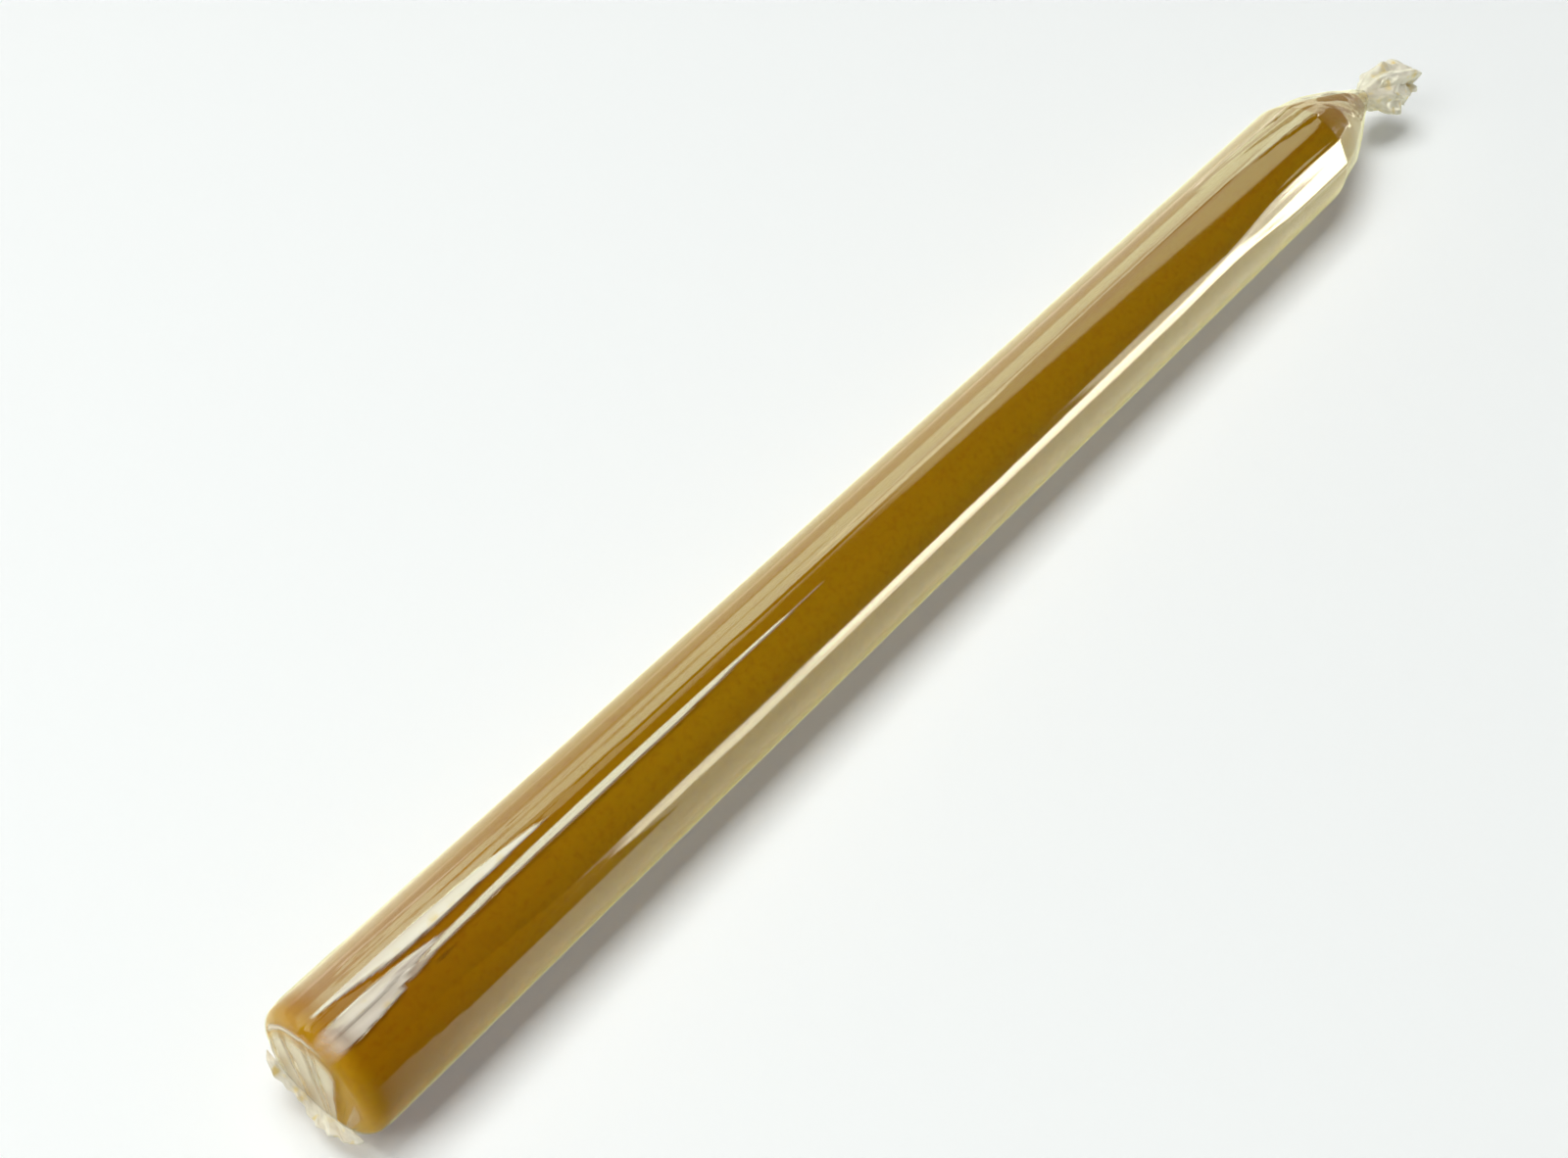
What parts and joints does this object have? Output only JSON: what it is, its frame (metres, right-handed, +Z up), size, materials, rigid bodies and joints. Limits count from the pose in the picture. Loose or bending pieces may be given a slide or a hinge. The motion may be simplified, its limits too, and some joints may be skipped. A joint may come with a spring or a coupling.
{
  "type": "taper candle",
  "caption": "Straight-sided honey-amber taper candle with a conical tip, wrapped in clear film that is pleated over the base and twisted at the wick.",
  "frame": {"origin": "on the surface that the candle lies on, under the middle of its whole length", "axes": "+X along the candle from its base to its wick, +Z up from the surface that it lies on"},
  "size_m": [0.305, 0.0222, 0.0223],
  "materials": {
    "wax": "smooth translucent amber wax",
    "wick": "braided cotton soaked in wax",
    "film": "clear glossy wrapping film"
  },
  "bodies": {
    "root": {"wax_body": "wax", "wick": "wick", "film_wrap": "film"}
  },
  "joints": []
}
